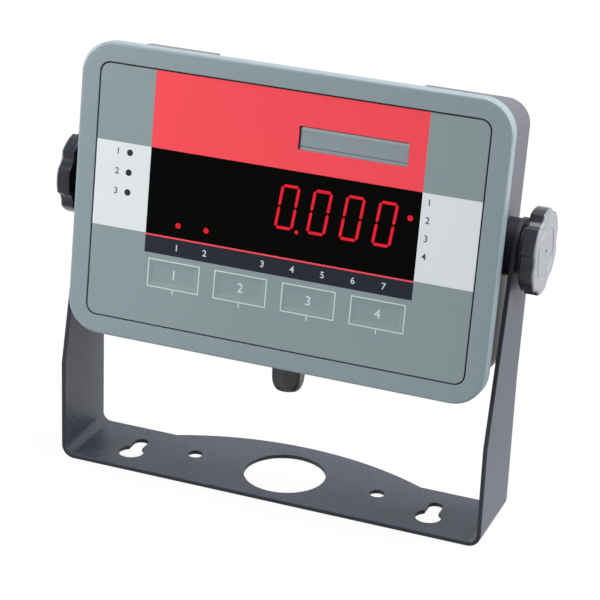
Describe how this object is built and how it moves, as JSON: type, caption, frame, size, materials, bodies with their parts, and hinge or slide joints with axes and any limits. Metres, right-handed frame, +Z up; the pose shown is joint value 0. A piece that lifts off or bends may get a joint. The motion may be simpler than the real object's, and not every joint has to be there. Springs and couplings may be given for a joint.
{
  "type": "weighing indicator",
  "caption": "Sealed display head with printed panel, seven-segment digits and keys, tilting on clamp knobs in a bent steel bracket.",
  "frame": {"origin": "centre of the large hole in the bracket's base, on the base's underside", "axes": "+X across the arms to the right as one faces the display, +Y towards the back, +Z up"},
  "size_m": [0.2392, 0.0626, 0.2122],
  "materials": {
    "bracket_paint": "dark grey fine-textured powder coat",
    "cover_grey": "satin grey-green moulding",
    "housing_grey": "dark grey, finely textured moulding",
    "panel_film": "printed film, red, black, pale and grey-green fields",
    "window_dark": "dark acrylic",
    "strip_card": "plain grey card",
    "key_film": "raised pads of the panel film",
    "digit_red": "black modules with red bars",
    "board_green": "circuit board",
    "lamp_dark": "unlit round lamps",
    "lamp_red": "red lamps",
    "switch_black": "small black switches",
    "core_steel": "varnished laminations",
    "terminal_green": "moulded terminal strip",
    "ribbon_grey": "flat cable with black sockets",
    "screw_steel": "plated screws, washers and studs",
    "insert_brass": "turned brass",
    "knob_black": "polished black moulding",
    "spacer_black": "black moulding",
    "gland_black": "black moulding",
    "seal_rubber": "black rubber"
  },
  "bodies": {
    "bracket": {"bracket": "bracket_paint"},
    "head": {"front_cover": "cover_grey", "rear_housing": "housing_grey", "sealing_ring": "seal_rubber", "front_panel": "panel_film", "display_window": "window_dark", "rating_strip": "strip_card", "display_board": "board_green", "display_screws": "screw_steel", "status_lamps": "lamp_red", "main_board": "board_green", "board_screws": "screw_steel", "transformer": "core_steel", "terminal_block": "terminal_green", "ribbon_cable": "ribbon_grey", "cover_screws": "screw_steel", "left_insert": "insert_brass", "right_insert": "insert_brass", "left_spacer": "spacer_black", "right_spacer": "spacer_black", "gland_body": "gland_black", "gland_locknut": "gland_black", "gland_seal": "seal_rubber", "gland_nut": "gland_black", "key_switch_1": "switch_black", "key_switch_2": "switch_black", "key_switch_3": "switch_black", "key_switch_4": "switch_black", "digit_1": "digit_red", "digit_2": "digit_red", "digit_3": "digit_red", "digit_4": "digit_red", "digit_5": "digit_red", "digit_6": "digit_red", "lamp_1": "lamp_dark", "lamp_2": "lamp_dark", "lamp_3": "lamp_dark"},
    "left_washer": {"left_washer": "screw_steel"},
    "right_washer": {"right_washer": "screw_steel"},
    "left_knob": {"left_knob": "knob_black", "left_stud": "screw_steel"},
    "right_knob": {"right_knob": "knob_black", "right_stud": "screw_steel"},
    "key_1": {"key_1": "key_film"},
    "key_2": {"key_2": "key_film"},
    "key_3": {"key_3": "key_film"},
    "key_4": {"key_4": "key_film"}
  },
  "joints": [
    {"name": "head_tilt", "type": "hinge", "parent": "bracket", "child": "head", "pos_m": [0, 0.0081, 0.1383], "axis": [1, 0, 0], "range_deg": [-82.6, 97.4]},
    {"name": "left_knob_out", "type": "slide", "parent": "head", "child": "left_washer", "axis": [-1, 0, 0], "range_m": [0, 0.0025]},
    {"name": "left_knob_turn", "type": "hinge", "parent": "left_washer", "child": "left_knob", "pos_m": [-0.115, 0.0081, 0.1383], "axis": [-1, 0, 0], "range_deg": [0, 720]},
    {"name": "right_knob_out", "type": "slide", "parent": "head", "child": "right_washer", "axis": [1, 0, 0], "range_m": [0, 0.0025]},
    {"name": "right_knob_turn", "type": "hinge", "parent": "right_washer", "child": "right_knob", "pos_m": [0.115, 0.0081, 0.1383], "axis": [1, 0, 0], "range_deg": [0, 720]},
    {"name": "key_1_press", "type": "slide", "parent": "head", "child": "key_1", "axis": [0, 0.9917, -0.1288], "range_m": [0, 0.0005], "stiffness_N_per_m": 2000},
    {"name": "key_2_press", "type": "slide", "parent": "head", "child": "key_2", "axis": [0, 0.9917, -0.1288], "range_m": [0, 0.0005], "stiffness_N_per_m": 2000},
    {"name": "key_3_press", "type": "slide", "parent": "head", "child": "key_3", "axis": [0, 0.9917, -0.1288], "range_m": [0, 0.0005], "stiffness_N_per_m": 2000},
    {"name": "key_4_press", "type": "slide", "parent": "head", "child": "key_4", "axis": [0, 0.9917, -0.1288], "range_m": [0, 0.0005], "stiffness_N_per_m": 2000}
  ],
  "couplings": [
    {"joint": "left_knob_out", "follows": "left_knob_turn", "m_per_rad": 0.00019894},
    {"joint": "right_knob_out", "follows": "right_knob_turn", "m_per_rad": 0.00019894}
  ]
}
